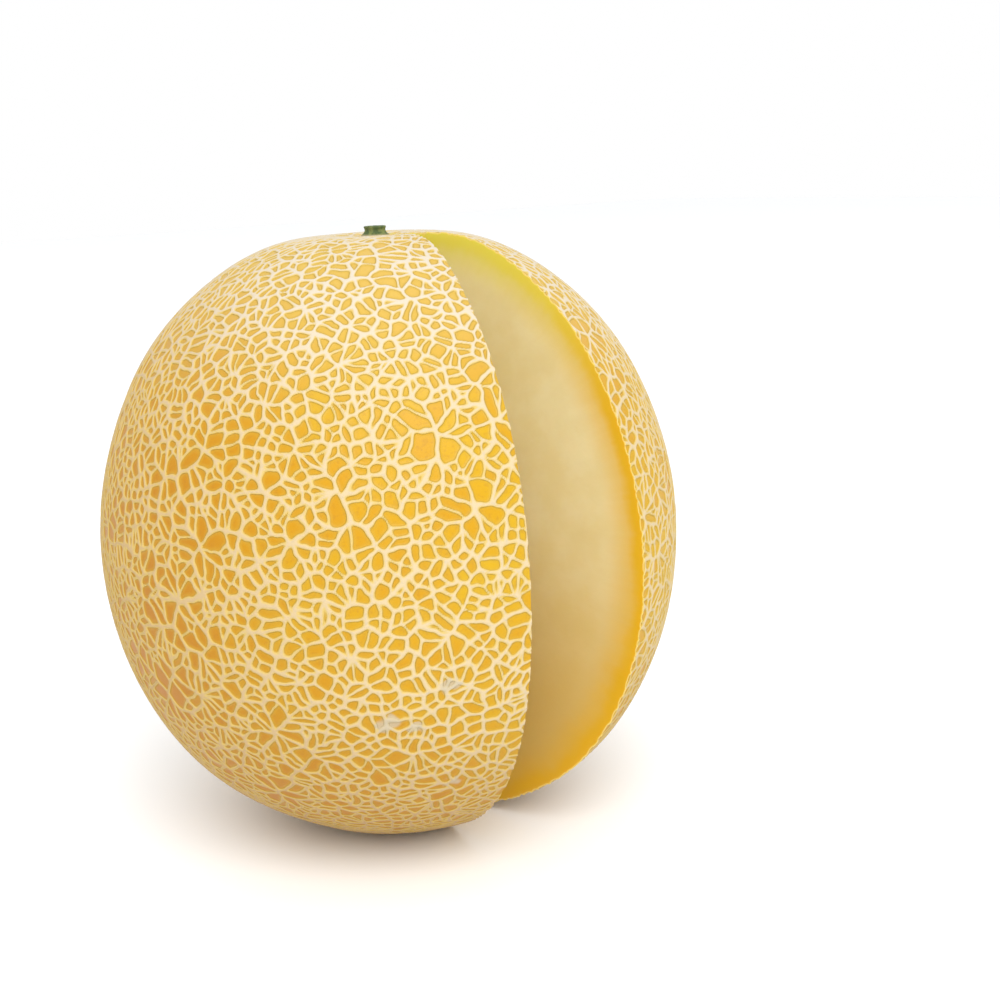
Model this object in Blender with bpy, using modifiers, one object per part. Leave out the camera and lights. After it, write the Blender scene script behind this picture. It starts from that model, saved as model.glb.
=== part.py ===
"""A ripe netted melon with one wedge cut out, resting on its small flat foot.

The fruit stands on +Z with the centre of its foot at the origin. The wedge opens
toward -Y. Inside is the seed cavity, lined with soft pulp that carries the seeds,
and the cut stub of the stalk sits in the dimple at the top. Metres throughout.
"""
import math
import random

import bmesh
import bpy
from mathutils import Euler, Matrix, Vector

# Fruit outside
FRUIT_RADIUS = 0.085
UPPER_HEIGHT = 0.0943       # equator to the level of the top, dimple left out
LOWER_HEIGHT = 0.0883       # equator to where the round bottom would end
UPPER_FULLNESS = 2.09       # 2 is an ellipse, more gives fuller shoulders
LOWER_FULLNESS = 2.09
FOOT_RADIUS = 0.022
DIMPLE_DEPTH = 0.0057
DIMPLE_RADIUS = 0.0200

# Wedge that was taken out
WEDGE_ANGLE = math.radians(26.0)
WEDGE_PAST_AXIS = 0.0105    # how far the two cuts meet behind the fruit's axis
WEDGE_SIDE_SHIFT = 0.0073   # toward +X, so the stalk stays on the fruit

# Seed cavity, its lining and the seeds
CAVITY_RADIUS = 0.028
CAVITY_HALF_HEIGHT = 0.052
CAVITY_LIFT = 0.000         # cavity centre above the equator
PULP_THICKNESS = 0.0050
SEED_LENGTH = 0.0105
SEED_WIDTH = 0.0044
SEED_THICKNESS = 0.0019
SEED_TIP_TAPER = 0.55       # how much of the width the pointed end loses
SEEDS_PER_RING = (5, 7, 8, 8, 8, 7, 5)
SEED_RING_SPAN = 1.36       # lowest to highest ring, in cavity half heights
SEED_EDGE_SPACE = 0.0060    # seed middle line to the cut faces
SEED_LEAN = math.radians(4.0)

# Stalk
STALK_RADIUS = 0.0032
STALK_FLARE_RADIUS = 0.0044
STALK_LENGTH = 0.0028
STALK_TOP_RADIUS = 0.0036
STALK_SHIFT = Vector((0.0002, 0.0003, 0.0))
STALK_LEAN = Euler((math.radians(-1.0), math.radians(-1.5), 0.0))

# Fit between pieces, and how finely the round shapes are divided
CLEARANCE = 0.0003
FRUIT_STEPS = 60
FRUIT_RINGS = 26
CAVITY_STEPS = 32
CAVITY_RINGS = 14
STALK_STEPS = 20
SEED_SEGMENTS = 8
SEED_BANDS = 5


def foot_drop():
    """Share of the lower height at which the fruit is as wide as its foot."""
    return (1.0 - (FOOT_RADIUS / FRUIT_RADIUS) ** 2) ** (1.0 / LOWER_FULLNESS)


EQUATOR_HEIGHT = LOWER_HEIGHT * foot_drop()
CAVITY_HEIGHT = EQUATOR_HEIGHT + CAVITY_LIFT


def clear_scene():
    for old_object in list(bpy.data.objects):
        bpy.data.objects.remove(old_object, do_unlink=True)


def new_collection(name):
    collection = bpy.data.collections.new(name)
    bpy.context.scene.collection.children.link(collection)
    return collection


def make_material(name, color, roughness):
    material = bpy.data.materials.new(name)
    material.use_nodes = True
    shader = material.node_tree.nodes["Principled BSDF"]
    shader.inputs["Base Color"].default_value = (*color, 1.0)
    shader.inputs["Roughness"].default_value = roughness
    shader.inputs["Metallic"].default_value = 0.0
    return material


def turned_object(name, collection, profile, steps):
    """Turn a profile, listed from top to bottom as (radius, height), about Z."""
    mesh = bpy.data.meshes.new(name)
    bm = bmesh.new()
    points = [bm.verts.new((radius, 0.0, height)) for radius, height in profile]
    for upper, lower in zip(points, points[1:]):
        bm.edges.new((upper, lower))
    bm.to_mesh(mesh)
    bm.free()
    turned = bpy.data.objects.new(name, mesh)
    collection.objects.link(turned)
    screw = turned.modifiers.new("turn", "SCREW")
    screw.axis = "Z"
    screw.angle = math.tau
    screw.steps = steps
    screw.render_steps = steps
    screw.use_merge_vertices = True
    screw.merge_threshold = 0.00005
    screw.use_smooth_shade = True
    return turned


def make_cutter(cutter):
    cutter.hide_render = True
    cutter.display_type = "WIRE"


def cut_with(target, cutter):
    cut = target.modifiers.new("cut " + cutter.name, "BOOLEAN")
    cut.operation = "DIFFERENCE"
    cut.solver = "EXACT"
    cut.object = cutter


def dimple(radius):
    """How far the dimple lowers the top at this distance from the axis."""
    return DIMPLE_DEPTH * math.exp(-((radius / DIMPLE_RADIUS) ** 2))


def fruit_profile():
    """Outline from the bottom of the dimple down to the middle of the foot."""
    profile = []
    last_angle = math.acos(-foot_drop())
    for ring in range(FRUIT_RINGS + 1):
        rise = math.cos(last_angle * ring / FRUIT_RINGS)
        if rise >= 0.0:
            radius = FRUIT_RADIUS * math.sqrt(1.0 - rise ** UPPER_FULLNESS)
            height = EQUATOR_HEIGHT + UPPER_HEIGHT * rise - dimple(radius)
        else:
            radius = FRUIT_RADIUS * math.sqrt(1.0 - (-rise) ** LOWER_FULLNESS)
            height = EQUATOR_HEIGHT + LOWER_HEIGHT * rise
        profile.append((radius, height))
    profile[-1] = (FOOT_RADIUS, 0.0)
    profile.append((0.0, 0.0))
    return profile


def cavity_profile(inset):
    """Outline of the egg-shaped cavity, made smaller all round by inset."""
    profile = []
    for ring in range(CAVITY_RINGS + 1):
        angle = math.pi * ring / CAVITY_RINGS
        radius = (CAVITY_RADIUS - inset) * math.sin(angle)
        height = CAVITY_HEIGHT + (CAVITY_HALF_HEIGHT - inset) * math.cos(angle)
        profile.append((radius, height))
    profile[0] = (0.0, profile[0][1])
    profile[-1] = (0.0, profile[-1][1])
    return profile


def wedge_cutter(collection):
    """A tall prism whose sharp edge is where the two knife cuts met."""
    reach = 2.0 * FRUIT_RADIUS
    half_width = reach * math.tan(WEDGE_ANGLE / 2.0)
    outline = (
        (WEDGE_SIDE_SHIFT, WEDGE_PAST_AXIS),
        (WEDGE_SIDE_SHIFT - half_width, WEDGE_PAST_AXIS - reach),
        (WEDGE_SIDE_SHIFT + half_width, WEDGE_PAST_AXIS - reach),
    )
    curve = bpy.data.curves.new("wedge outline", "CURVE")
    curve.dimensions = "2D"
    curve.fill_mode = "BOTH"
    curve.extrude = UPPER_HEIGHT + LOWER_HEIGHT
    spline = curve.splines.new("POLY")
    spline.points.add(len(outline) - 1)
    for point, (x, y) in zip(spline.points, outline):
        point.co = (x, y, 0.0, 1.0)
    spline.use_cyclic_u = True
    outline_object = bpy.data.objects.new("wedge outline", curve)
    outline_object.location = (0.0, 0.0, EQUATOR_HEIGHT)
    collection.objects.link(outline_object)
    bpy.context.view_layer.update()

    depsgraph = bpy.context.evaluated_depsgraph_get()
    mesh = bpy.data.meshes.new_from_object(outline_object.evaluated_get(depsgraph))
    bm = bmesh.new()
    bm.from_mesh(mesh)
    bmesh.ops.remove_doubles(bm, verts=bm.verts, dist=0.00001)
    bmesh.ops.recalc_face_normals(bm, faces=bm.faces)
    bm.to_mesh(mesh)
    bm.free()
    wedge = bpy.data.objects.new("wedge", mesh)
    wedge.matrix_world = outline_object.matrix_world
    collection.objects.link(wedge)
    bpy.data.objects.remove(outline_object, do_unlink=True)
    make_cutter(wedge)
    return wedge


def add_fruit(parts, cavity, wedge):
    """Rind and flesh are one grown piece, with the cavity and the wedge cut out."""
    fruit = turned_object("melon_body", parts, fruit_profile(), FRUIT_STEPS)
    cut_with(fruit, cavity)
    cut_with(fruit, wedge)
    fruit.data.materials.append(make_material("netted rind", (0.90, 0.55, 0.08), 0.55))
    return fruit


def add_pulp(parts, hollow, wedge):
    """Soft lining that clings to the cavity wall and is cut by the same knife."""
    pulp = turned_object("seed_pulp", parts, cavity_profile(CLEARANCE), CAVITY_STEPS)
    cut_with(pulp, hollow)
    cut_with(pulp, wedge)
    pulp.data.materials.append(make_material("seed pulp", (0.95, 0.66, 0.20), 0.35))
    return pulp


def seed_mesh():
    """A flat drop: blunt where it grows from the pulp, pointed at the other end."""
    mesh = bpy.data.meshes.new("seed")
    bm = bmesh.new()
    bmesh.ops.create_uvsphere(
        bm, u_segments=SEED_SEGMENTS, v_segments=SEED_BANDS, radius=1.0)
    for vertex in bm.verts:
        along = vertex.co.z
        width_left = 1.0 - SEED_TIP_TAPER * max(0.0, along) ** 1.2
        vertex.co.x *= 0.5 * SEED_WIDTH * width_left
        vertex.co.y *= 0.5 * SEED_THICKNESS * width_left
        vertex.co.z = 0.5 * SEED_LENGTH * along
    bm.to_mesh(mesh)
    bm.free()
    mesh.shade_smooth()
    mesh.materials.append(make_material("seed coat", (0.96, 0.91, 0.74), 0.4))
    return mesh


def ring_limits(radius):
    """First and last azimuth, from -Y toward +X, with room beside both cut faces."""
    half_angle = WEDGE_ANGLE / 2.0
    side = WEDGE_SIDE_SHIFT * math.cos(half_angle)
    back = WEDGE_PAST_AXIS * math.sin(half_angle)
    right_reach = min(0.95, (side + back + SEED_EDGE_SPACE) / radius)
    left_reach = max(-0.95, (side - back - SEED_EDGE_SPACE) / radius)
    first = half_angle + math.asin(right_reach)
    last = math.tau - half_angle + math.asin(left_reach)
    return first, last


def add_seeds(parts, parent):
    """Rings of seeds that stand on the lining and point to the fruit's axis."""
    mesh = seed_mesh()
    inner_radius = CAVITY_RADIUS - PULP_THICKNESS
    inner_half_height = CAVITY_HALF_HEIGHT - PULP_THICKNESS
    jitter = random.Random(7)
    number = 0
    for ring, count in enumerate(SEEDS_PER_RING):
        share = ring / (len(SEEDS_PER_RING) - 1) - 0.5
        level = share * SEED_RING_SPAN * CAVITY_HALF_HEIGHT
        radius = inner_radius * math.sqrt(1.0 - (level / inner_half_height) ** 2)
        first, last = ring_limits(radius)
        for place in range(count):
            number += 1
            azimuth = first + (last - first) * place / (count - 1)
            outward = Vector((math.sin(azimuth), -math.cos(azimuth), 0.0))
            root = outward * radius + Vector((0.0, 0.0, CAVITY_HEIGHT + level))
            lean = SEED_LEAN * jitter.uniform(-1.0, 1.0)
            wall_slope = level / inner_half_height ** 2 * inner_radius ** 2 / radius
            inward = Vector((-outward.x, -outward.y, math.sin(lean)))
            inward.normalize()
            turn = inward.to_track_quat("Z", "Y").to_matrix().to_4x4()
            roll = Matrix.Rotation(math.radians(90.0) + jitter.uniform(-0.5, 0.5), 4, "Z")
            root_room = CLEARANCE + 0.5 * SEED_WIDTH * abs(wall_slope)
            seat = root + inward * (root_room + 0.5 * SEED_LENGTH)
            seed = bpy.data.objects.new("seed_%02d" % number, mesh)
            parts.objects.link(seed)
            seed.parent = parent
            seed.matrix_local = Matrix.Translation(seat) @ turn @ roll


def add_stalk(parts):
    """Short cut stub with a corky flare at its foot, seated in the dimple."""
    seat_radius = STALK_FLARE_RADIUS + STALK_SHIFT.length
    seat_height = EQUATOR_HEIGHT + UPPER_HEIGHT - dimple(seat_radius) + CLEARANCE
    waist = 0.45 * STALK_LENGTH
    profile = [
        (0.0, STALK_LENGTH - 0.0005),
        (0.6 * STALK_TOP_RADIUS, STALK_LENGTH),
        (STALK_TOP_RADIUS, STALK_LENGTH - 0.0004),
        (STALK_TOP_RADIUS, STALK_LENGTH - 0.0009),
        (STALK_RADIUS, waist),
        (0.5 * (STALK_RADIUS + STALK_FLARE_RADIUS), 0.5 * waist),
        (STALK_FLARE_RADIUS, 0.2 * waist),
        (STALK_FLARE_RADIUS, 0.0),
        (0.0, 0.0),
    ]
    stalk = turned_object("stem_stub", parts, profile, STALK_STEPS)
    lean_room = STALK_FLARE_RADIUS * math.sin(abs(STALK_LEAN.y) + abs(STALK_LEAN.x))
    stalk.location = STALK_SHIFT + Vector((0.0, 0.0, seat_height + lean_room))
    stalk.rotation_euler = STALK_LEAN
    stalk.data.materials.append(make_material("green stalk", (0.24, 0.30, 0.12), 0.7))
    return stalk


def build():
    clear_scene()
    parts = new_collection("netted_melon")
    cutters = new_collection("cutters")
    wedge = wedge_cutter(cutters)
    cavity = turned_object("cavity", cutters, cavity_profile(0.0), CAVITY_STEPS)
    hollow = turned_object("hollow", cutters, cavity_profile(PULP_THICKNESS), CAVITY_STEPS)
    make_cutter(cavity)
    make_cutter(hollow)
    fruit = add_fruit(parts, cavity, wedge)
    add_pulp(parts, hollow, wedge).parent = fruit
    add_seeds(parts, fruit)
    add_stalk(parts).parent = fruit


build()
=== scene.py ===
"""A netted melon with one wedge cut out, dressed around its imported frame."""
import math

import bmesh
import bpy
import numpy as np
from mathutils import Matrix, Vector, kdtree, noise


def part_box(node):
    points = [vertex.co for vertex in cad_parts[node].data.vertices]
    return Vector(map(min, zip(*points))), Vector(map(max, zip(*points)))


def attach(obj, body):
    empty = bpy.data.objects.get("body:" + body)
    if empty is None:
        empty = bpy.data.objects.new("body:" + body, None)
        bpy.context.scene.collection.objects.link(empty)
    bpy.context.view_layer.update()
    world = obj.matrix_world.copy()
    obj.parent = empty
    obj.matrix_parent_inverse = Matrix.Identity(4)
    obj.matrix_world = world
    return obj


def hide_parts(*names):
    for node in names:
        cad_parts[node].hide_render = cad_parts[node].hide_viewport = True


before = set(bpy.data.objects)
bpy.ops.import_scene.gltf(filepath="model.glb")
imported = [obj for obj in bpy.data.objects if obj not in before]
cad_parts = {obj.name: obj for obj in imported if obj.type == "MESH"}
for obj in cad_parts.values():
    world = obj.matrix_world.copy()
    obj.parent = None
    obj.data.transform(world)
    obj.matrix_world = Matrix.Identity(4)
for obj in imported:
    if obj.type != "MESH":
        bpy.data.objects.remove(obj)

# Blender seeds its vector noise from the clock, so it gets a fixed seed before it is used.
noise.seed_set(17)

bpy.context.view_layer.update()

# ---------------------------------------------------------------------------
# Fruit: rind and flesh
# One grown body. The yellow skin cracks as the fruit swells, and the cracks
# heal over with raised cream cork, which makes the net. A knife took the wedge
# out in two straight cuts, down to the seed cavity and a little past the axis.
# ---------------------------------------------------------------------------
FRUIT_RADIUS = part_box("melon_body")[1].x
UPPER_HEIGHT = 0.0943
LOWER_HEIGHT = 0.0883
FULLNESS = 2.09             # 2 is an ellipse; more gives fuller shoulders
FOOT_RADIUS = 0.022
DIMPLE_DEPTH = 0.0057
DIMPLE_RADIUS = 0.0200
EQUATOR = LOWER_HEIGHT * (1 - (FOOT_RADIUS / FRUIT_RADIUS) ** 2) ** (1 / FULLNESS)
HALF_WEDGE = math.radians(13.0)
CUT_MEETING = np.array([0.0073, 0.0105, EQUATOR])
CAVITY_RADIUS = 0.028
CAVITY_HALF_HEIGHT = 0.052

# The two cuts are upright planes. Each has the way it runs out from where the
# cuts meet, and the way its cut face looks, into the wedge.
CUT_RUN = {side: np.array([sign * math.sin(HALF_WEDGE), -math.cos(HALF_WEDGE), 0.0])
           for side, sign in (("left", -1), ("right", 1))}
CUT_LOOK = {side: np.array([-sign * math.cos(HALF_WEDGE), -math.sin(HALF_WEDGE), 0.0])
            for side, sign in (("left", -1), ("right", 1))}


def even_ball(steps):
    """Points and quads of a ball of radius 1: the six sides of a cube, pushed out."""
    ticks = np.tan(np.linspace(-math.pi / 4, math.pi / 4, steps + 1))
    u, v = np.meshgrid(ticks, ticks, indexing="ij")
    one = np.ones_like(u)
    sides = ((u, v, one), (v, u, -one), (one, u, v), (-one, v, u), (v, one, u), (u, -one, v))
    points = np.concatenate([np.stack(side, -1).reshape(-1, 3) for side in sides])
    points /= np.linalg.norm(points, axis=1, keepdims=True)
    row = steps + 1
    corner = (np.arange(steps)[:, None] * row + np.arange(steps)).ravel()
    quads = np.stack([corner, corner + row, corner + row + 1, corner + 1], 1)
    quads = np.concatenate([quads + side * row * row for side in range(6)])
    _, first, place = np.unique(np.round(points * 1e6).astype(np.int64), axis=0,
                                return_index=True, return_inverse=True)
    return points[first], place.ravel()[quads]


def fruit_outside(way):
    """Where each direction from the middle meets the fruit's smooth outside."""
    flat = FRUIT_RADIUS * np.linalg.norm(way[:, :2], axis=1)
    climb = np.abs(way[:, 2]) ** (2 / FULLNESS)
    dimple = DIMPLE_DEPTH * np.exp(-(flat / DIMPLE_RADIUS) ** 2)
    height = np.where(way[:, 2] > 0, UPPER_HEIGHT * climb - dimple, -LOWER_HEIGHT * climb)
    outside = way * FRUIT_RADIUS
    outside[:, 2] = np.maximum(EQUATOR + height, 0.0)
    return outside


def fruit_normals(points):
    """The way the smooth outside looks at each of its points."""
    flat = np.maximum(np.linalg.norm(points[:, :2], axis=1), 1e-9)
    upper = points[:, 2] > EQUATOR
    dimple = np.where(upper, DIMPLE_DEPTH * np.exp(-(flat / DIMPLE_RADIUS) ** 2), 0.0)
    lift = np.abs(points[:, 2] - EQUATOR + dimple)
    reach = np.where(upper, UPPER_HEIGHT, LOWER_HEIGHT)
    rise = FULLNESS * lift ** (FULLNESS - 1) / reach ** FULLNESS
    spread = 2 * flat / FRUIT_RADIUS ** 2 - rise * 2 * flat / DIMPLE_RADIUS ** 2 * dimple
    look = np.empty_like(points)
    look[:, :2] = points[:, :2] * (spread / flat)[:, None]
    look[:, 2] = np.where(upper, rise, -rise)
    return look / np.linalg.norm(look, axis=1, keepdims=True)


# The smooth outside is cut first, so that its cut edges are exact.
BALL_STEPS = 300
NEAR_CUTS = 0.002           # faces further behind the meeting line stay whole
ON_PLANE = 1e-7             # how near a corner is to count as on a cutting plane
ON_CUT = 1e-5               # the same, once the corners are worked out afresh
ball_points, ball_quads = even_ball(BALL_STEPS)
outside_mesh = bpy.data.meshes.new("outside")
outside_mesh.from_pydata(fruit_outside(ball_points).tolist(), [], ball_quads.tolist())
shell = bmesh.new()
shell.from_mesh(outside_mesh)
bpy.data.meshes.remove(outside_mesh)
for side in ("left", "right"):
    near_cut = [f for f in shell.faces if f.calc_center_median().y < CUT_MEETING[1] + NEAR_CUTS]
    cut_edges = {edge for face in near_cut for edge in face.edges}
    cut_corners = {corner for face in near_cut for corner in face.verts}
    bmesh.ops.bisect_plane(shell, geom=near_cut + list(cut_edges) + list(cut_corners),
                           plane_co=CUT_MEETING, plane_no=CUT_LOOK[side], dist=ON_PLANE)


def in_wedge(point):
    """True on the open side of both cuts."""
    return all((point[0] - CUT_MEETING[0]) * CUT_LOOK[side][0]
               + (point[1] - CUT_MEETING[1]) * CUT_LOOK[side][1] > 0 for side in CUT_LOOK)


bmesh.ops.delete(shell, context="FACES",
                 geom=[f for f in shell.faces if in_wedge(f.calc_center_median())])
bmesh.ops.triangulate(shell, faces=[f for f in shell.faces if len(f.verts) > 4])
shell.verts.index_update()
rind = np.array([corner.co[:] for corner in shell.verts])
rind_faces = [[corner.index for corner in face.verts] for face in shell.faces]
edge_corners = np.array([c.index for c in shell.verts if c.is_boundary])
shell.free()
rind_look = fruit_normals(rind)

# Net: big cells crack first and get the wide lines. Each then cracks again
# into a few small cells with narrow lines that end against the wide ones.
net_random = np.random.default_rng(17)
BIG_CELLS = 2450
NEIGHBOURS = 6
PUSH = 0.12                 # share of a shortfall that neighbours move apart in a round
PUSH_REACH = 3.6            # closer than this, over the root of their number, they push
PUSH_ROUNDS = 10
END_CROWDING = 1.08         # a few more cells stand toward the stalk and the foot
SMALL_CELLS_AT_MOST = 5
SMALL_CELL_SIZE = 3.9       # how far apart the small cells' middles are, in mm
SMALL_RING = 0.30           # how far out they stand, as a share of the big cell's gap
NEAR_BIG_CELLS = 5          # this many big cells can shape the net at a point
WIDE_LINE = 0.51            # half widths of the lines, in mm
NARROW_LINE = 0.40
LINE_BLEND = 0.22           # how far lines flow together where they meet, in mm
CROWN_THICKENING = 0.16     # the net is thicker round the stalk
CROWN_FROM, CROWN_RISE = 0.130, 0.040
RIDGE_HEIGHT = 0.00042
SLOW_BEND, SLOW_BEND_SIZE = 1.1, 6.0    # the lines wander this far, over this size, in mm
FINE_BEND, FINE_BEND_SIZE = 0.40, 2.2


def point_tree(points):
    """A lookup tree of points, for finding the nearest ones."""
    tree = kdtree.KDTree(len(points))
    for index, point in enumerate(points):
        tree.insert(point, index)
    tree.balance()
    return tree


def spread_cells(count, rounds):
    """Cell middles over the fruit in mm, each pushed a little away from its neighbours."""
    middles = net_random.normal(size=(count, 3))
    middles[:, 2] *= END_CROWDING
    middles /= np.linalg.norm(middles, axis=1, keepdims=True)
    reach = PUSH_REACH / math.sqrt(count)
    for _ in range(rounds):
        tree = point_tree(middles)
        pushed = middles.copy()
        for index, middle in enumerate(middles):
            for other, _, gap in tree.find_n(middle, NEIGHBOURS + 1)[1:]:
                apart = (middle - np.array(other)) * PUSH
                pushed[index] += apart * max(0, reach - gap) / max(gap, 1e-4)
        middles = pushed / np.linalg.norm(pushed, axis=1, keepdims=True)
    return fruit_outside(middles) * 1000


big_cells = spread_cells(BIG_CELLS, PUSH_ROUNDS)
big_look = fruit_normals(big_cells / 1000)
big_tree = point_tree(big_cells)
big_gap = np.array([np.mean([hit[2] for hit in big_tree.find_n(middle, NEIGHBOURS + 1)[1:]])
                    for middle in big_cells])
FAR_AWAY = 1e4              # where the unused small cells are kept
small_cells = np.full((BIG_CELLS, SMALL_CELLS_AT_MOST, 3), FAR_AWAY)
small_tone = net_random.random((BIG_CELLS, SMALL_CELLS_AT_MOST))
for index, (middle, look) in enumerate(zip(big_cells, big_look)):
    room = (big_gap[index] / SMALL_CELL_SIZE) ** 2 * net_random.uniform(0.7, 1.35)
    count = min(SMALL_CELLS_AT_MOST, max(1, round(room)))
    across = np.cross(look, net_random.normal(size=3))
    across /= np.linalg.norm(across)
    along = np.cross(look, across)
    turn = net_random.random() * math.tau
    squeeze = net_random.uniform(0.7, 1.0)
    for child in range(count):
        angle = turn + math.tau * child / count + net_random.normal() * 0.25
        away = SMALL_RING * big_gap[index] * net_random.uniform(0.8, 1.2) * (count > 1)
        if count > 4 and child == 0:
            away = 0.3
        small_cells[index, child] = middle + away * (math.cos(angle) * across
                                                     + squeeze * math.sin(angle) * along)


def wander(points, size, offset):
    """Smooth noise vectors, one for each point; size is in mm."""
    shift = Vector((offset, -offset, offset * 0.5))
    return np.array([noise.noise_vector(Vector(p) / size + shift) for p in points])


rind_mm = rind * 1000
bent = (rind_mm + wander(rind_mm, SLOW_BEND_SIZE, 3.1) * SLOW_BEND
        + wander(rind_mm, FINE_BEND_SIZE, 9.7) * FINE_BEND)
near_cells = np.array([[hit[1] for hit in big_tree.find_n(p, NEAR_BIG_CELLS)] for p in bent])


def edge_distance(points, own, others):
    """Distance from each point to the line halfway between its cell and another."""
    apart = np.maximum(np.linalg.norm(others - own, axis=-1), 1e-3)
    return (((points - others) ** 2).sum(-1) - ((points - own) ** 2).sum(-1)) / (2 * apart)


line_noise = wander(rind_mm, 9.0, 21.0)
crown = np.clip((rind[:, 2] - CROWN_FROM) / CROWN_RISE, 0, 1)
wide_line = WIDE_LINE * (1 + 0.35 * line_noise[:, 0] + CROWN_THICKENING * crown)
narrow_line = NARROW_LINE * (1 + 0.45 * line_noise[:, 1] + CROWN_THICKENING * crown)
own_big = big_cells[near_cells[:, 0]]
pull = np.zeros(len(rind))
for rank in range(1, NEAR_BIG_CELLS):
    to_line = edge_distance(bent, own_big, big_cells[near_cells[:, rank]])
    pull += np.exp((wide_line - to_line) / LINE_BLEND)
children = small_cells[near_cells[:, 0]]
child_gap = ((bent[:, None] - children) ** 2).sum(-1)
own_child = child_gap.argmin(1)
own_small = children[np.arange(len(rind)), own_child]
for child in range(SMALL_CELLS_AT_MOST):
    to_line = edge_distance(bent, own_small, children[:, child])
    to_line[own_child == child] = 1e3
    pull += np.exp((narrow_line - to_line) / LINE_BLEND)
net = LINE_BLEND * np.log(np.maximum(pull, 1e-12))
net = np.clip(net, -3.0, 1.2)
tone = small_tone[near_cells[:, 0], own_child]

# A few rubs healed over as flat patches of grey cork. Each has its angle round
# the fruit from the wedge in degrees, its level in metres and its size in mm.
SCARS = ((-36.0, 0.055, 4.4), (-31.5, 0.0535, 2.4), (-25.0, 0.0645, 3.2), (-24.0, 0.0335, 2.8),
         (118.0, 0.052, 5.0), (176.0, 0.098, 3.6), (-112.0, 0.060, 3.2))
scar = np.zeros(len(rind))
rub_noise = wander(rind_mm, 2.2, 33.0)[:, 0]
for azimuth, level, size in SCARS:
    flat = np.sqrt(1 - min(1, abs(level - EQUATOR) / LOWER_HEIGHT) ** FULLNESS) * FRUIT_RADIUS
    turn = math.radians(azimuth)
    middle = np.array([flat * math.sin(turn), -flat * math.cos(turn), level])
    away = np.linalg.norm((rind - middle) * [1000, 1000, 1600], axis=1) / size
    scar = np.maximum(scar, np.clip(1.15 - away + 0.9 * rub_noise, 0, 1))

# The lines stand up as low rounded ridges, pressed flat under the foot, and
# the whole fruit has a slight unevenness.
ridge = np.clip((net + 0.28) / 0.75, 0, 1)
ridge = ridge * ridge * (3 - 2 * ridge)
pressed = np.clip((rind[:, 2] - 0.0004) / 0.003, 0, 1)
BULGE = 0.0006
BULGE_SIZE = 38.0
SKIN_SINK = 0.0002          # the skin lies this far inside the smooth outside
bulge = wander(rind_mm, BULGE_SIZE, 5.0)[:, 0] * BULGE
grown = rind + rind_look * ((ridge * RIDGE_HEIGHT + bulge - SKIN_SINK) * pressed)[:, None]
cut_loops = {}
for side in ("left", "right"):
    offset = (rind[edge_corners] - CUT_MEETING) @ CUT_LOOK[side]
    on_cut = edge_corners[np.abs(offset) < ON_CUT]
    grown[on_cut] -= ((grown[on_cut] - CUT_MEETING) @ CUT_LOOK[side])[:, None] * CUT_LOOK[side]
    cut_loops[side] = on_cut
shared = np.intersect1d(cut_loops["left"], cut_loops["right"])
grown[shared, :2] = CUT_MEETING[:2]
grown[:, 2] = np.maximum(grown[:, 2], 0.0)

# Each cut face is a fan of rows from the rind's edge in to the seed cavity.
CUT_STEPS = 360
CUT_ROWS = 26
ROW_GRADING = 1.8           # more than 1 sets the rows closer near the rind
KNIFE_WAVE = 0.00010
KNIFE_WAVE_SIZE = 0.011
cut_angles = np.linspace(math.pi / 2, -math.pi / 2, CUT_STEPS + 1)


def cavity_reach(way, radius, half_height):
    """How far the cavity's wall is from where the cuts meet, along each way."""
    scale = np.array([1 / radius, 1 / radius, 1 / half_height])
    start = (CUT_MEETING - [0, 0, EQUATOR]) * scale
    run = way * scale
    a = (run * run).sum(-1)
    b = (run * start).sum(-1)
    return (-b + np.sqrt(b * b - a * ((start * start).sum() - 1))) / a


body_points = [grown]
body_faces = list(rind_faces)
face_parts = [0] * len(rind_faces)
point_depth = [np.zeros(len(grown))]
point_core = [np.full(len(grown), 60.0)]
point_along = [np.zeros(len(grown))]
made = len(grown)
cavity_rows = {}


def add_face(corners, look, part):
    """Keep a face with its corners the right way round to look outward."""
    points = np.array([all_points[corner] for corner in corners[:3]])
    if np.cross(points[1] - points[0], points[2] - points[1]) @ look < 0:
        corners = corners[::-1]
    body_faces.append(list(corners))
    face_parts.append(part)


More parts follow.
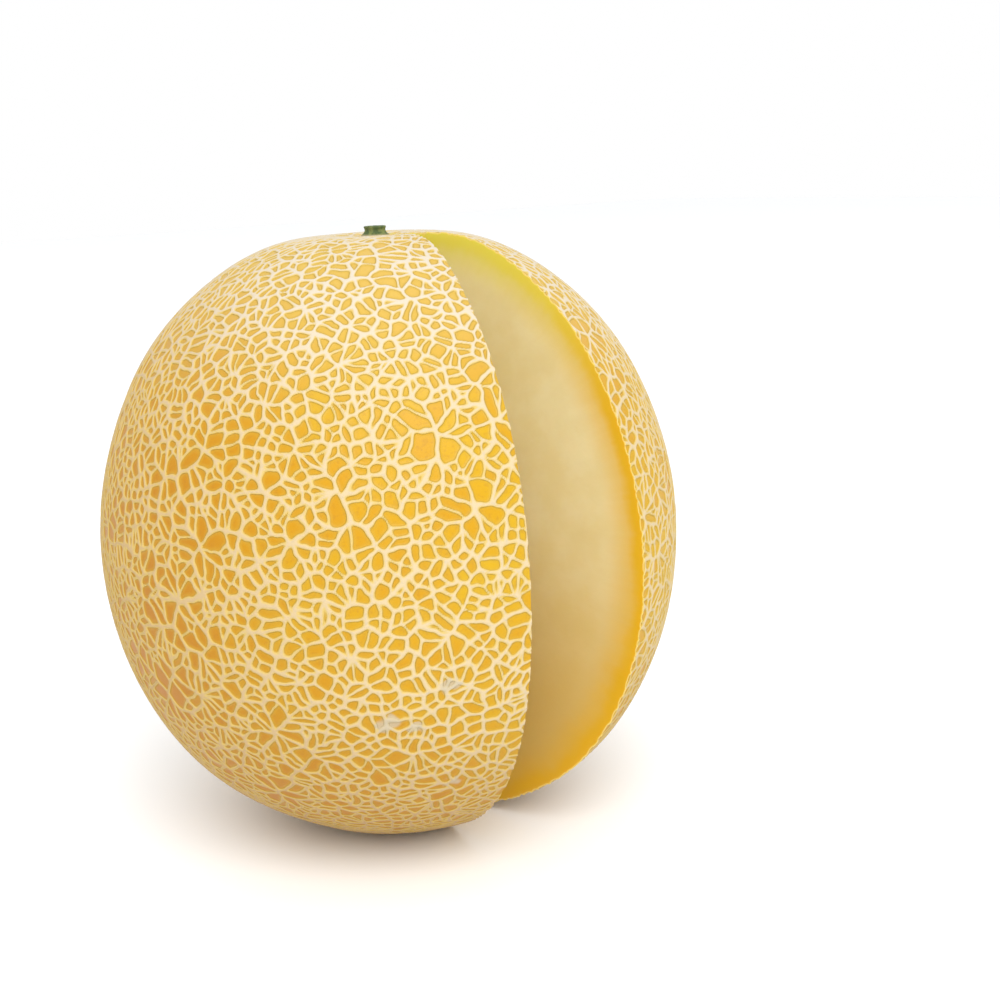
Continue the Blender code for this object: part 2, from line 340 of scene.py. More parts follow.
for side in ("left", "right"):
    loop = cut_loops[side]
    from_meeting = grown[loop] - CUT_MEETING
    loop_angle = np.arctan2(from_meeting[:, 2], np.maximum(from_meeting @ CUT_RUN[side], 0.0))
    order = np.argsort(-loop_angle)
    loop, loop_angle = loop[order], loop_angle[order]
    loop_reach = np.linalg.norm(grown[loop] - CUT_MEETING, axis=1)
    way = np.cos(cut_angles)[:, None] * CUT_RUN[side] + np.sin(cut_angles)[:, None] * [0, 0, 1]
    outer = np.interp(-cut_angles, -loop_angle, loop_reach)
    inner = cavity_reach(way, CAVITY_RADIUS, CAVITY_HALF_HEIGHT)
    rows = []
    for row in range(1, CUT_ROWS + 1):
        share = (row / CUT_ROWS) ** ROW_GRADING
        reach = outer + (inner - outer) * share
        points = CUT_MEETING + way * reach[:, None]
        wave = np.array([noise.noise(Vector(p) / KNIFE_WAVE_SIZE) for p in points]) * KNIFE_WAVE
        wave *= np.sin(math.pi * min(share * 4, 0.5)) * np.cos(cut_angles)
        points = points + CUT_LOOK[side] * wave[:, None]
        body_points.append(points)
        point_depth.append((outer - reach) * 1000)
        point_core.append((reach - inner) * 1000)
        point_along.append(np.degrees(cut_angles))
        rows.append(np.arange(made, made + CUT_STEPS + 1))
        made += CUT_STEPS + 1
    cavity_rows[side] = rows[-1]
    all_points = np.concatenate(body_points)
    a = b = 0
    while a < len(loop) - 1 or b < CUT_STEPS:
        step_outer = b == CUT_STEPS or (a < len(loop) - 1 and loop_angle[a + 1] > cut_angles[b + 1])
        third = loop[a + 1] if step_outer else rows[0][b + 1]
        add_face([loop[a], rows[0][b], third], CUT_LOOK[side], 1)
        a, b = (a + 1, b) if step_outer else (a, b + 1)
    for upper, lower in zip(rows, rows[1:]):
        for step in range(CUT_STEPS):
            add_face([upper[step], upper[step + 1], lower[step + 1], lower[step]], CUT_LOOK[side], 1)

# The wall of the cavity runs round the back from one cut face to the other.
WALL_COLUMNS = 72
run_start = math.atan2(CUT_RUN["left"][1], CUT_RUN["left"][0])
run_turn = -(math.tau - 2 * HALF_WEDGE)
columns = [cavity_rows["left"]]
for column in range(1, WALL_COLUMNS):
    round_angle = run_start + run_turn * column / WALL_COLUMNS
    run = np.array([math.cos(round_angle), math.sin(round_angle), 0.0])
    way = np.cos(cut_angles)[:, None] * run + np.sin(cut_angles)[:, None] * [0, 0, 1]
    reach = cavity_reach(way, CAVITY_RADIUS, CAVITY_HALF_HEIGHT)
    body_points.append(CUT_MEETING + way * reach[:, None])
    point_depth.append(np.full(CUT_STEPS + 1, 50.0))
    point_core.append(np.zeros(CUT_STEPS + 1))
    point_along.append(np.degrees(cut_angles))
    columns.append(np.arange(made, made + CUT_STEPS + 1))
    made += CUT_STEPS + 1
columns.append(cavity_rows["right"])
for before, after in zip(columns, columns[1:]):
    for step in range(CUT_STEPS):
        body_faces.append([before[step], before[step + 1], after[step + 1], after[step]])
        face_parts.append(1)

melon_mesh = bpy.data.meshes.new("melon")
melon_mesh.from_pydata(np.concatenate(body_points).tolist(), [], body_faces)
for name, values in (("depth", np.concatenate(point_depth)), ("core", np.concatenate(point_core)),
                     ("along", np.concatenate(point_along))):
    layer = melon_mesh.attributes.new(name, "FLOAT", "POINT")
    layer.data.foreach_set("value", values.astype(np.float32))
for name, values in (("net", net), ("tone", tone), ("scar", scar)):
    layer = melon_mesh.attributes.new(name, "FLOAT", "POINT")
    filled = np.zeros(made, np.float32)
    filled[:len(values)] = values
    layer.data.foreach_set("value", filled)
melon_mesh.polygons.foreach_set("material_index", np.array(face_parts, np.int32))
melon_mesh.polygons.foreach_set("use_smooth", np.ones(len(face_parts), bool))
melon_bm = bmesh.new()
melon_bm.from_mesh(melon_mesh)
shared = set(shared.tolist())
SAME_PLACE = 1e-6
bmesh.ops.remove_doubles(melon_bm, dist=SAME_PLACE, verts=[
    corner for corner in melon_bm.verts if corner.index >= len(grown) or corner.index in shared])
meeting_line = Vector(CUT_MEETING[:2])
for edge in melon_bm.edges:
    rind_meets_flesh = len({face.material_index for face in edge.link_faces}) > 1
    cuts_meet = all((corner.co.xy - meeting_line).length < ON_CUT for corner in edge.verts)
    if rind_meets_flesh or cuts_meet:
        edge.smooth = False
melon_bm.to_mesh(melon_mesh)
melon_bm.free()


def shade_node(tree, kind, sockets=None, **settings):
    """Add a node; sockets maps an input's name or number to a value or an output."""
    made_node = tree.nodes.new(kind)
    for key, value in settings.items():
        setattr(made_node, key, value)
    for key, value in (sockets or {}).items():
        if isinstance(value, bpy.types.NodeSocket):
            tree.links.new(value, made_node.inputs[key])
        else:
            made_node.inputs[key].default_value = value
    return made_node


def blend_colors(tree, share, first, second):
    """Mix two colours, each a colour or an output, by a share."""
    mixer = shade_node(tree, "ShaderNodeMix", {0: share, 6: first, 7: second}, data_type="RGBA")
    return mixer.outputs[2]


def span(tree, value, low, high, to_low=0.0, to_high=1.0, smooth=True):
    """Map a value from two limits to two others, eased at both ends if smooth."""
    mapped = shade_node(tree, "ShaderNodeMapRange", {0: value, 1: low, 2: high, 3: to_low, 4: to_high},
                        interpolation_type="SMOOTHSTEP" if smooth else "LINEAR")
    return mapped.outputs[0]


def grain(tree, size, detail=3.0, place=None, roughness=0.5):
    """Noise whose blotches are about size metres across."""
    sockets = {"Scale": 1 / size, "Detail": detail, "Roughness": roughness, "Vector": place}
    return shade_node(tree, "ShaderNodeTexNoise", sockets).outputs[0]


def mesh_value(tree, name):
    """A value that is stored at the mesh's corners."""
    return shade_node(tree, "ShaderNodeAttribute", attribute_name=name).outputs["Fac"]


SKIN_GOLD = (0.555, 0.325, 0.005, 1)
SKIN_ORANGE = (0.52, 0.250, 0.005, 1)
SKIN_DEEP = (0.40, 0.195, 0.018, 1)
SKIN_PAINTED_SHEEN = (0.60, 0.44, 0.12, 1)
SKIN_SIDE = (0.48, 0.305, 0.034, 1)
SKIN_PAINTED_SHADE = (0.380, 0.130, 0.005, 1)
SKIN_SHADE_AND_GROUND_SPOT = (0.39, 0.150, 0.016, 1)
LINE_SHADE_AND_GROUND_SPOT = (0.42, 0.26, 0.125, 1)
LINE_PAINTED_SHADE = (0.460, 0.295, 0.115, 1)
LINE_PALE = (0.58, 0.42, 0.12, 1)
LINE_CORK = (0.59, 0.465, 0.275, 1)
LINE_PAINTED_SHEEN = (0.59, 0.520, 0.410, 1)
LINE_GREY = (0.46, 0.405, 0.30, 1)

rind_finish = bpy.data.materials.new("netted_rind")
rind_finish.use_nodes = True
tree = rind_finish.node_tree
skin_shader = tree.nodes["Principled BSDF"]
place = shade_node(tree, "ShaderNodeTexCoord").outputs["Object"]
net_value = mesh_value(tree, "net")
ripe = grain(tree, 0.045, 3.0, place)
skin = blend_colors(tree, span(tree, ripe, 0.35, 0.68), SKIN_GOLD, SKIN_ORANGE)
cell_tone = span(tree, mesh_value(tree, "tone"), 0.45, 1.0, 0.0, 0.6)
skin = blend_colors(tree, cell_tone, skin, SKIN_ORANGE)
speckle = span(tree, grain(tree, 0.0011, 2.0, place), 0.52, 0.72, 0.0, 0.35)
skin = blend_colors(tree, speckle, skin, SKIN_DEEP)
cork_grain = span(tree, grain(tree, 0.0009, 3.0, place), 0.52, 0.72, 0.0, 0.45)
cork = blend_colors(tree, cork_grain, LINE_CORK, LINE_GREY)
level = shade_node(tree, "ShaderNodeSeparateXYZ", {0: place}).outputs[2]
# Painted sheen: the top of the fruit, skin and net alike, is painted paler where the light glances off
# it.
painted_sheen_share = span(tree, level, 0.118, 0.172)
skin = blend_colors(tree, span(tree, painted_sheen_share, 0.0, 1.0, 0.0, 0.6), skin, SKIN_PAINTED_SHEEN)
cork = blend_colors(tree, painted_sheen_share, cork, LINE_PAINTED_SHEEN)
# Painted shade: the side turned away from the light is painted a deeper, darker orange.
toward_shaded_side = shade_node(tree, "ShaderNodeVectorMath", {0: place, 1: (-0.83, 0.50, -0.25)},
                     operation="DOT_PRODUCT").outputs["Value"]
painted_side_shade = span(tree, toward_shaded_side, -0.030, 0.075, 0.0, 0.85)
skin = blend_colors(tree, painted_side_shade, skin, SKIN_PAINTED_SHADE)
cork = blend_colors(tree, painted_side_shade, cork, LINE_PAINTED_SHADE)
# Darker towards the bottom, skin and net alike: partly painted shade under the fruit, partly the duller
# colour of the spot it lay on.
shade_and_ground_spot = span(tree, level, 0.070, 0.0, 0.0, 0.85)
skin = blend_colors(tree, shade_and_ground_spot, skin, SKIN_SHADE_AND_GROUND_SPOT)
cork = blend_colors(tree, shade_and_ground_spot, cork, LINE_SHADE_AND_GROUND_SPOT)
beside_line = span(tree, net_value, -1.15, -0.10, 0.0, 0.40)
skin = blend_colors(tree, beside_line, skin, SKIN_SIDE)
line_edge = span(tree, net_value, -0.17, 0.07)
line_top = span(tree, net_value, 0.02, 0.40)
skin = blend_colors(tree, line_edge, skin, LINE_PALE)
skin = blend_colors(tree, line_top, skin, cork)
rubbed = span(tree, mesh_value(tree, "scar"), 0.05, 0.60, 0.0, 0.70)
skin = blend_colors(tree, rubbed, skin, LINE_GREY)
tree.links.new(skin, skin_shader.inputs["Base Color"])
tree.links.new(span(tree, line_edge, 0.0, 1.0, 0.40, 0.72), skin_shader.inputs["Roughness"])
fine = grain(tree, 0.0007, 3.0, place)
line_bump = shade_node(tree, "ShaderNodeBump", {"Strength": 0.7, "Distance": 0.00035,
                                                "Height": line_edge})
fine_bump = shade_node(tree, "ShaderNodeBump", {"Strength": 0.35, "Distance": 0.00012, "Height": fine,
                                                "Normal": line_bump.outputs[0]})
tree.links.new(fine_bump.outputs[0], skin_shader.inputs["Normal"])
skin_shader.inputs["Specular IOR Level"].default_value = 0.20

FLESH_CREAM = (0.685, 0.565, 0.285, 1)
FLESH_PALE = (0.73, 0.630, 0.365, 1)
FLESH_PAINTED_SHADE = (0.58, 0.395, 0.105, 1)
RIND_GREEN = (0.65, 0.56, 0.070, 1)
RIND_YELLOW = (0.645, 0.37, 0.008, 1)
RIND_LINE = (0.78, 0.60, 0.19, 1)
CORE_YELLOW = (0.84, 0.52, 0.14, 1)

flesh_finish = bpy.data.materials.new("cut_flesh")
flesh_finish.use_nodes = True
tree = flesh_finish.node_tree
flesh_shader = tree.nodes["Principled BSDF"]
place = shade_node(tree, "ShaderNodeTexCoord").outputs["Object"]
depth = mesh_value(tree, "depth")
core = mesh_value(tree, "core")
height = shade_node(tree, "ShaderNodeSeparateXYZ", {0: place}).outputs[2]
fibre_place = shade_node(tree, "ShaderNodeCombineXYZ", {
    0: span(tree, mesh_value(tree, "along"), -90.0, 90.0, 0.0, 60.0, False),
    1: span(tree, depth, 0.0, 60.0, 0.0, 5.0, False)}).outputs[0]
fibres = shade_node(tree, "ShaderNodeTexNoise", {"Vector": fibre_place, "Scale": 1.0,
                                                 "Detail": 3.0}).outputs[0]
mottle = grain(tree, 0.012, 3.0, place)
flesh = blend_colors(tree, span(tree, mottle, 0.3, 0.7), FLESH_PALE, FLESH_CREAM)
flesh = blend_colors(tree, span(tree, fibres, 0.45, 0.75, 0.0, 0.35), flesh, FLESH_CREAM)
# Painted shade: the cut face is painted darker and more orange towards its foot, deep in the notch.
flesh = blend_colors(tree, span(tree, height, 0.112, 0.025, 0.0, 0.95), flesh, FLESH_PAINTED_SHADE)
band = blend_colors(tree, span(tree, height, 0.122, 0.176), RIND_YELLOW, RIND_GREEN)
wobble = span(tree, mottle, 0.2, 0.8, -1.6, 1.6, False)
band_depth = shade_node(tree, "ShaderNodeMath", {0: depth, 1: wobble}, operation="ADD").outputs[0]
flesh = blend_colors(tree, span(tree, band_depth, 14.0, 2.0, 0.0, 0.75), flesh, band)
flesh = blend_colors(tree, span(tree, band_depth, 5.5, 1.5, 0.0, 1.0), flesh, band)
flesh = blend_colors(tree, span(tree, depth, 0.55, 0.15), flesh, RIND_LINE)
flesh = blend_colors(tree, span(tree, core, 9.0, 0.0), flesh, CORE_YELLOW)
tree.links.new(flesh, flesh_shader.inputs["Base Color"])
flesh_shader.inputs["Roughness"].default_value = 0.38
flesh_shader.inputs["Subsurface Weight"].default_value = 0.25
flesh_shader.inputs["Subsurface Radius"].default_value = (1.0, 0.6, 0.25)
flesh_shader.inputs["Subsurface Scale"].default_value = 0.004
flesh_fine = grain(tree, 0.0012, 4.0, place)
flesh_bump = shade_node(tree, "ShaderNodeBump", {"Strength": 0.30, "Distance": 0.00015,
                                                 "Height": flesh_fine})
fibre_bump = shade_node(tree, "ShaderNodeBump", {"Strength": 0.25, "Distance": 0.0003, "Height": fibres,
                                                 "Normal": flesh_bump.outputs[0]})
tree.links.new(fibre_bump.outputs[0], flesh_shader.inputs["Normal"])

melon = bpy.data.objects.new("melon", melon_mesh)
bpy.context.scene.collection.objects.link(melon)
melon_mesh.materials.append(rind_finish)
melon_mesh.materials.append(flesh_finish)
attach(melon, "root")
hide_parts("melon_body")

# ---------------------------------------------------------------------------
# Seed pulp
# The wet, stringy lining of the seed cavity. It clings to the wall, and the
# knife left it all but flush with the flesh at both cuts.
# ---------------------------------------------------------------------------
PULP_GAP = 0.0003           # between the lining and the wall of the cavity
PULP_THICKNESS = 0.0042
PULP_THINNEST, PULP_THICKEST = 0.0016, 0.0078
LUMP_HEIGHT, SMALL_LUMP_HEIGHT, CORD_HEIGHT = 0.0024, 0.0010, 0.0010
PULP_STEPS = 170
PULP_COLUMNS = 230
PULP_LAYERS = 5
PULP_FRAY, PULP_FRAY_SIZE = 0.00025, 0.0016     # the knife left its cut ends frayed
CAVITY_CORE = 0.004         # the lining keeps this far from where the cuts meet
pulp_angles = np.linspace(math.pi / 2, -math.pi / 2, PULP_STEPS + 1)


def pulp_way(turn_share, angles):
    """Ways out of the place where the cuts meet; the share runs from cut to cut."""
    around = run_start + run_turn * turn_share
    return np.stack([np.cos(angles) * np.cos(around), np.cos(angles) * np.sin(around),
                     np.sin(angles) + 0 * around], -1)


def pulp_depth(points):
    """Thickness of the lining at points on the wall: lumps, and cords that run up and down."""
    lumps = (wander(points * 1000, 6.5, 51.0)[:, 0] * LUMP_HEIGHT
             + wander(points * 1000, 2.3, 57.0)[:, 0] * SMALL_LUMP_HEIGHT)
    cords = wander(points * [1000, 1000, 240], 2.6, 63.0)[:, 1]
    cords = np.clip(1 - np.abs(cords) * 4, 0, 1) * CORD_HEIGHT
    return np.clip(PULP_THICKNESS + lumps + cords, PULP_THINNEST, PULP_THICKEST)


turns = np.linspace(0, 1, PULP_COLUMNS + 1)[:, None]
pulp_ways = pulp_way(turns, pulp_angles[None, :])
wall_reach = cavity_reach(pulp_ways, CAVITY_RADIUS - PULP_GAP, CAVITY_HALF_HEIGHT - PULP_GAP)
pulp_wall = CUT_MEETING + pulp_ways * wall_reach[..., None]
thick = pulp_depth(pulp_wall.reshape(-1, 3)).reshape(wall_reach.shape)
pulp_face = CUT_MEETING + pulp_ways * np.maximum(wall_reach - thick, CAVITY_CORE)[..., None]
pulp_points = [pulp_wall.reshape(-1, 3), pulp_face.reshape(-1, 3)]
wide = PULP_STEPS + 1
wall_at = np.arange((PULP_COLUMNS + 1) * wide).reshape(-1, wide)
face_at = wall_at + wall_at.size
pulp_faces = []
for column in range(PULP_COLUMNS):
    for step in range(PULP_STEPS):
        for grid, order in ((wall_at, 1), (face_at, -1)):
            pulp_faces.append([grid[column, step], grid[column, step + 1],
                               grid[column + 1, step + 1], grid[column + 1, step]][::order])
start = 2 * wall_at.size
for column, side, order in ((0, "left", 1), (PULP_COLUMNS, "right", -1)):
    layers = [wall_at[column]]
    for layer in range(1, PULP_LAYERS):
        share = layer / PULP_LAYERS
        points = pulp_wall[column] * (1 - share) + pulp_face[column] * share
        wave = np.array([noise.noise(Vector(p) / PULP_FRAY_SIZE) for p in points]) * PULP_FRAY
        points = points - CUT_LOOK[side] * (np.abs(wave) * np.cos(pulp_angles))[:, None]
        pulp_points.append(points)
        layers.append(np.arange(start, start + wide))
        start += wide
    layers.append(face_at[column])
    for outer_row, inner_row in zip(layers, layers[1:]):
        for step in range(PULP_STEPS):
            pulp_faces.append([outer_row[step], inner_row[step], inner_row[step + 1],
                               outer_row[step + 1]][::order])


def smooth_piece(name, points, faces, finish):
    """Make a mesh piece that rides with the fruit; doubled corners are joined."""
    mesh = bpy.data.meshes.new(name)
    mesh.from_pydata([tuple(point) for point in points], [], [list(map(int, face)) for face in faces])
    bm = bmesh.new()
    bm.from_mesh(mesh)
    bmesh.ops.remove_doubles(bm, verts=bm.verts, dist=SAME_PLACE)
    bmesh.ops.recalc_face_normals(bm, faces=bm.faces)
    bm.to_mesh(mesh)
    bm.free()
    mesh.polygons.foreach_set("use_smooth", np.ones(len(mesh.polygons), bool))
    mesh.materials.append(finish)
    piece = bpy.data.objects.new(name, mesh)
    bpy.context.scene.collection.objects.link(piece)
    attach(piece, "root")
    return piece


PULP_GOLD = (0.93, 0.66, 0.20, 1)
PULP_AMBER = (0.90, 0.56, 0.13, 1)
PULP_CREAM = (0.94, 0.78, 0.40, 1)
pulp_finish = bpy.data.materials.new("wet_pulp")
pulp_finish.use_nodes = True
tree = pulp_finish.node_tree
pulp_shader = tree.nodes["Principled BSDF"]
place = shade_node(tree, "ShaderNodeTexCoord").outputs["Object"]
amber_share = span(tree, grain(tree, 0.007, 3.0, place), 0.35, 0.65)
pulp_color = blend_colors(tree, amber_share, PULP_GOLD, PULP_AMBER)
stretched = shade_node(tree, "ShaderNodeMapping", {"Vector": place, "Scale": (1.0, 1.0, 0.22)}).outputs[0]
strands = grain(tree, 0.0016, 4.0, stretched)
pulp_color = blend_colors(tree, span(tree, strands, 0.50, 0.70, 0.0, 0.8), pulp_color, PULP_CREAM)
tree.links.new(pulp_color, pulp_shader.inputs["Base Color"])
pulp_shader.inputs["Roughness"].default_value = 0.22
pulp_shader.inputs["Subsurface Weight"].default_value = 0.3
pulp_shader.inputs["Subsurface Radius"].default_value = (1.0, 0.5, 0.15)
pulp_shader.inputs["Subsurface Scale"].default_value = 0.003
pulp_bump = shade_node(tree, "ShaderNodeBump", {"Strength": 0.6, "Distance": 0.0005, "Height": strands})
tree.links.new(pulp_bump.outputs[0], pulp_shader.inputs["Normal"])
seed_pulp = smooth_piece("seed_pulp_lining", np.concatenate(pulp_points), pulp_faces,
                         pulp_finish)
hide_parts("seed_pulp")

# Loose strings that the seeds hung on, drawn as thin tapering tubes.
STRINGS = 170
STRING_POINTS = 11
STRING_SIDES = 6
STRING_RADIUS = 0.00034
STRING_ROOT = 0.0008        # how far a string's start is sunk into the pulp
STRING_CLEARANCE = 0.0005   # strings stay this far behind at least one of the cuts
STRING_TAPER = (1.6, 0.35)
string_random = np.random.default_rng(5)


def tube(path, radii, sides, points, faces):
    """Add a closed tube along a path to the lists of points and faces."""
    first = len(points)
    heading = np.gradient(path, axis=0)
    heading /= np.linalg.norm(heading, axis=1, keepdims=True)
    across = np.cross(heading, [0.31, 0.17, 0.93])
    across /= np.linalg.norm(across, axis=1, keepdims=True)
    along = np.cross(heading, across)
    for spot, one, two, radius in zip(path, across, along, radii):
        for side in range(sides):
            angle = math.tau * side / sides
            points.append(spot + radius * (math.cos(angle) * one + math.sin(angle) * two))
    for ring in range(len(path) - 1):
        for side in range(sides):
            a = first + ring * sides + side
            b = first + ring * sides + (side + 1) % sides
            faces.append([a, b, b + sides, a + sides])
    faces.append([first + side for side in range(sides)][::-1])
    faces.append([len(points) - sides + side for side in range(sides)])


def on_pulp(share, angle):
    """A point on the lining's inner face, and the way from it to the middle."""
    way = pulp_way(np.array([share]), np.array([angle]))
    reach = cavity_reach(way, CAVITY_RADIUS - PULP_GAP, CAVITY_HALF_HEIGHT - PULP_GAP)
    wall = CUT_MEETING + way * reach[:, None]
    point = (wall - way * pulp_depth(wall)[:, None])[0]
    inward = np.array([0.0, 0.0, point[2] * 0.5 + EQUATOR * 0.5]) - point
    return point, inward / np.linalg.norm(inward)


string_points, string_faces = [], []
for _ in range(STRINGS):
    share = string_random.uniform(0.03, 0.97)
    angle = string_random.uniform(-1.15, 1.15)
    point, inward = on_pulp(share, angle)
    length = string_random.uniform(0.005, 0.013)
    bend = string_random.normal(size=3) * [0.5, 0.5, 1.1]
    heading = inward * 0.5 + string_random.normal(size=3) * [0.4, 0.4, 0.9]
    path = [point - inward * STRING_ROOT]
    for step in range(1, STRING_POINTS):
        heading = heading / np.linalg.norm(heading) + bend * 0.16 - inward * 0.05
        path.append(path[-1] + heading / np.linalg.norm(heading) * length / STRING_POINTS)
    path = np.array(path)
    if all(max((path - CUT_MEETING) @ look) > -STRING_CLEARANCE for look in CUT_LOOK.values()):
        continue
    radii = STRING_RADIUS * string_random.uniform(0.7, 1.5) * np.linspace(*STRING_TAPER, STRING_POINTS)
    tube(path, radii, STRING_SIDES, string_points, string_faces)
pulp_strings = smooth_piece("pulp_strings", string_points, string_faces, pulp_finish)

# ---------------------------------------------------------------------------
# Seeds
# Flat cream drops with a smooth, slightly glossy coat. Each stands on the pulp
# by its round end and points to the middle of the cavity.
# ---------------------------------------------------------------------------
SEED_LENGTH = 0.0105
SEED_WIDTH = 0.0044
SEED_THICKNESS = 0.0019
SEED_SIDES = 20
SEED_BANDS = 14
SEED_TIP_TAPER = 0.55       # how much of the width the tip loses


def seed_form():
    """Points and faces of one seed along Z, its round end down and its tip up."""
    points, faces = [(0.0, 0.0, -0.5 * SEED_LENGTH)], []
    for band in range(1, SEED_BANDS):
        along = -math.cos(math.pi * band / SEED_BANDS)
        swell = math.sin(math.pi * band / SEED_BANDS) ** 0.9
        taper = 1 - SEED_TIP_TAPER * max(0.0, along) ** 1.2
        for side in range(SEED_SIDES):
            angle = math.tau * side / SEED_SIDES
            rim = abs(math.cos(angle)) ** 0.8 * math.copysign(1, math.cos(angle))
            points.append((0.5 * SEED_WIDTH * swell * taper * rim,
                           0.5 * SEED_THICKNESS * swell * taper * math.sin(angle),
                           0.5 * SEED_LENGTH * along))
    points.append((0.0, 0.0, 0.5 * SEED_LENGTH))
    for side in range(SEED_SIDES):
        after = (side + 1) % SEED_SIDES
        faces.append([0, 1 + after, 1 + side])
        last = 1 + (SEED_BANDS - 2) * SEED_SIDES
        faces.append([last + side, last + after, len(points) - 1])
        for band in range(SEED_BANDS - 2):
            a = 1 + band * SEED_SIDES
            faces.append([a + side, a + after, a + after + SEED_SIDES, a + side + SEED_SIDES])
    return np.array(points), faces


SEED_CREAM = (0.93, 0.76, 0.44, 1)
SEED_PALE = (0.95, 0.84, 0.58, 1)
seed_finish = bpy.data.materials.new("seed_coat")
seed_finish.use_nodes = True
tree = seed_finish.node_tree
seed_shader = tree.nodes["Principled BSDF"]
place = shade_node(tree, "ShaderNodeTexCoord").outputs["Object"]
cream_share = span(tree, grain(tree, 0.004, 3.0, place), 0.35, 0.65)
seed_color = blend_colors(tree, cream_share, SEED_PALE, SEED_CREAM)
tree.links.new(seed_color, seed_shader.inputs["Base Color"])
seed_shader.inputs["Roughness"].default_value = 0.28
seed_shader.inputs["Subsurface Weight"].default_value = 0.15
seed_shader.inputs["Subsurface Radius"].default_value = (1.0, 0.7, 0.4)
seed_shader.inputs["Subsurface Scale"].default_value = 0.0015
seed_bump = shade_node(tree, "ShaderNodeBump", {"Strength": 0.2, "Distance": 0.0001,
                                                "Height": grain(tree, 0.0006, 3.0, place)})
tree.links.new(seed_bump.outputs[0], seed_shader.inputs["Normal"])

seed_points, seed_faces = seed_form()
seed_random = np.random.default_rng(23)
seed_middles = []
seed_names = sorted(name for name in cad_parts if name.startswith("seed_") and name != "seed_pulp")
for name in seed_names:
    cad_points = np.array([corner.co[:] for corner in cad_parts[name].data.vertices])
    middle = (cad_points.max(0) + cad_points.min(0)) / 2
    _, _, axes = np.linalg.svd(cad_points - cad_points.mean(0), full_matrices=False)
    long_axis, wide_axis = axes[0], axes[1]
    along = (cad_points - middle) @ long_axis
    sideways = np.linalg.norm(cad_points - middle - along[:, None] * long_axis, axis=1)
    if (along * sideways).sum() > 0:
        long_axis = -long_axis
    turn = np.stack([wide_axis, np.cross(long_axis, wide_axis), long_axis])
    size = seed_random.uniform(0.94, 1.0, 3)
    seed = smooth_piece(name + "_coat", middle + seed_points * size @ turn, seed_faces,
                        seed_finish)
    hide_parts(name)
    seed_middles.append(middle)

# Further seeds stand in the gaps between those rows.
FILLER_SEEDS = 230
FILLER_TRIES = 4000
SEED_SPACING = 0.0034
SEED_STANDOFF = 0.36        # a seed's middle stands off the pulp by this share of its length
SEED_CLEARANCE = 0.0012     # seeds stay this far behind at least one of the cuts
filler_points, filler_faces = [], []
filler_count = 0
for _ in range(FILLER_TRIES):
    share = seed_random.uniform(0.02, 0.98)
    angle = seed_random.uniform(-1.22, 1.22)
    tilt = seed_random.normal(size=3) * 0.30
    roll = seed_random.uniform(-0.7, 0.7)
    point, inward = on_pulp(share, angle)
    long_axis = inward + tilt
    long_axis /= np.linalg.norm(long_axis)
    middle = point + long_axis * SEED_LENGTH * SEED_STANDOFF
    nearest = min(np.linalg.norm(middle - other) for other in seed_middles)
    if filler_count >= FILLER_SEEDS or nearest < SEED_SPACING:
        continue
    ends = middle + np.outer((-0.5, 0.5), long_axis * SEED_LENGTH)
    if min(max((ends - CUT_MEETING) @ look) for look in CUT_LOOK.values()) > -SEED_CLEARANCE:
        continue
    upright = np.cross(long_axis, [math.sin(roll), 0.0, math.cos(roll)])
    upright /= np.linalg.norm(upright)
    turn = np.stack([np.cross(upright, long_axis), upright, long_axis])
    size = seed_random.uniform(0.82, 1.0)
    first = len(filler_points)
    filler_points.extend(middle + seed_points * size @ turn)
    filler_faces.extend([[first + corner for corner in face] for face in seed_faces])
    seed_middles.append(middle)
    filler_count += 1
filler_seeds = smooth_piece("filler_seeds", filler_points, filler_faces, seed_finish)

# ---------------------------------------------------------------------------
# Stalk
# The short green stub that is left of the vine. It has five soft ribs, a
# spread foot that grew into the rind, and a dry, sunken cut end.
# ---------------------------------------------------------------------------
stalk_low, stalk_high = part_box("stem_stub")
STALK_SIDES = 60
STALK_RIBS = 5
STALK_RIB_DEPTH = 0.055
STALK_END_LEVEL = 0.90      # the dry cut end sinks to this share of the height
stalk_middle = (stalk_low + stalk_high) / 2
stalk_height = stalk_high.z - stalk_low.z
stalk_foot = (stalk_high.x - stalk_low.x) / 2
# Levels and reaches, as shares of the stub's height and of its foot's radius.
STALK_OUTLINE = ((0.00, 0.98), (0.06, 1.00), (0.14, 0.97), (0.24, 0.88), (0.36, 0.79), (0.50, 0.735),
                 (0.64, 0.72), (0.76, 0.74), (0.86, 0.77), (0.94, 0.775), (0.985, 0.75), (1.00, 0.69),
                 (0.985, 0.60), (0.93, 0.50), (0.90, 0.34), (0.90, 0.17))
stalk_points = []
for level, reach in STALK_OUTLINE:
    for side in range(STALK_SIDES):
        angle = math.tau * side / STALK_SIDES
        rib = 1 - STALK_RIB_DEPTH * (1 - math.cos(STALK_RIBS * angle)) * min(1.0, 4 * level + 0.3)
        spot = Vector((math.cos(angle), math.sin(angle), level * 1.3))
        rough = 1 - 0.03 * abs(noise.noise(spot * 4.0)) - 0.02 * abs(noise.noise(spot * 11.0))
        out = stalk_foot * reach * rib * rough
        up = stalk_height * level * (1 - 0.05 * abs(noise.noise(spot * 3.0)))
        stalk_points.append((stalk_middle.x + out * math.cos(angle),
                             stalk_middle.y + out * math.sin(angle), stalk_low.z + up))
rings = len(STALK_OUTLINE)
stalk_faces = []
for first in range(0, (rings - 1) * STALK_SIDES, STALK_SIDES):
    for side in range(STALK_SIDES):
        after = (side + 1) % STALK_SIDES
        stalk_faces.append([first + side, first + after,
                            first + STALK_SIDES + after, first + STALK_SIDES + side])
stalk_faces.append(list(range(STALK_SIDES))[::-1])
